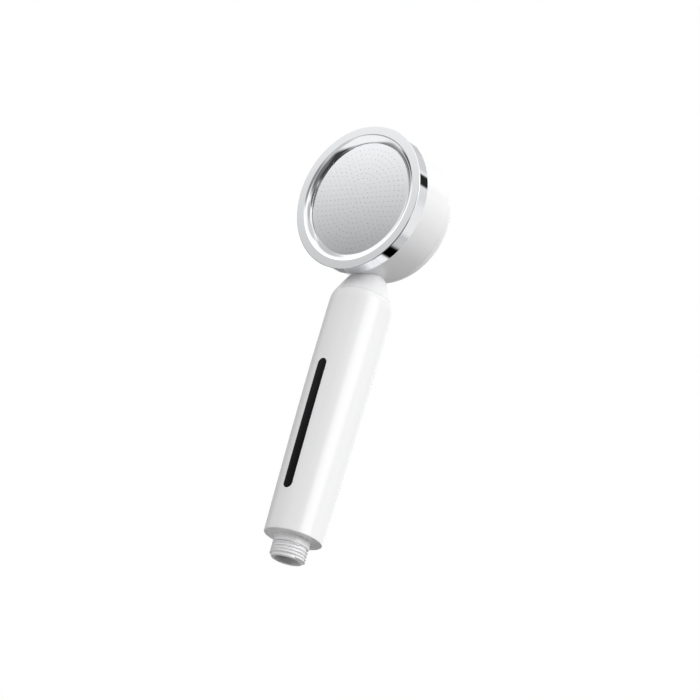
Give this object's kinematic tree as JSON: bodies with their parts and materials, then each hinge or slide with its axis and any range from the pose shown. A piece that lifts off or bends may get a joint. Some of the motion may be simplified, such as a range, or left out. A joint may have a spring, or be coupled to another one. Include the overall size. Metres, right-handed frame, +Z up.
{
  "type": "handheld shower head",
  "caption": "Handheld filter shower head: white tapered handle with a dark window strip and threaded inlet, drum head with a chrome face ring and perforated spray plate.",
  "frame": {"origin": "centre of the inlet nipple's end face, where the hose washer seats", "axes": "+Z up the handle's axis to the head, -Y the way the spray face looks, +X to the right of someone looking at the spray face from the front"},
  "size_m": [0.0892, 0.058, 0.2628],
  "materials": {
    "white_abs": "glossy moulded ABS",
    "white_abs_inner": "moulded ABS",
    "smoked_lens": "glossy, near-black tint",
    "smoked_tube": "smoked polycarbonate",
    "seal_rubber": "moulded",
    "blue_acetal": "moulded",
    "grey_acetal": "moulded",
    "stainless_mesh": "etched mesh",
    "filter_caps": "moulded polypropylene",
    "filter_fleece": "pleated melt-blown fleece",
    "screw_steel": "bright zinc plated",
    "stainless_plate": "satin stainless",
    "chrome_plate": "polished chrome plate on ABS",
    "clear_washer": "PTFE sheet"
  },
  "bodies": {
    "handle": {"handle_shell": "white_abs", "window_lens": "smoked_lens", "inlet_cap": "white_abs", "inlet_cap_oring": "seal_rubber", "flow_restrictor": "blue_acetal", "inlet_strainer": "stainless_mesh", "inner_tube": "smoked_tube"},
    "cartridge": {"filter_bottom_cap": "filter_caps", "filter_core": "filter_caps", "filter_media": "filter_fleece", "filter_top_cap": "filter_caps", "filter_spigot_oring": "seal_rubber"},
    "head": {"head_body": "white_abs", "neck_connector": "white_abs_inner", "neck_oring": "seal_rubber", "back_cover": "white_abs", "back_cover_oring": "seal_rubber", "water_distributor": "grey_acetal", "distributor_screws": "screw_steel"},
    "plate_set": {"spray_plate": "stainless_plate", "plate_support": "grey_acetal", "plate_gasket": "seal_rubber"},
    "ring": {"face_ring": "chrome_plate", "slip_washer": "clear_washer"}
  },
  "joints": [
    {"name": "cartridge_lift", "type": "slide", "parent": "handle", "child": "cartridge", "axis": [0, 0, 1], "range_m": [0, 0.006]},
    {"name": "head_unscrew", "type": "hinge", "parent": "cartridge", "child": "head", "pos_m": [0, 0, 0.1637], "axis": [0, 0, 1], "range_deg": [0, 720]},
    {"name": "plate_lift", "type": "slide", "parent": "head", "child": "plate_set", "axis": [0, -0.9877, -0.1564], "range_m": [0, 0.00225]},
    {"name": "ring_unscrew", "type": "hinge", "parent": "plate_set", "child": "ring", "pos_m": [0, -0.03106, 0.216], "axis": [0, -0.9877, -0.1564], "range_deg": [0, 540]}
  ],
  "couplings": [
    {"joint": "head_unscrew", "follows": "cartridge_lift", "rad_per_m": 2094.4},
    {"joint": "ring_unscrew", "follows": "plate_lift", "rad_per_m": 4188.8}
  ]
}
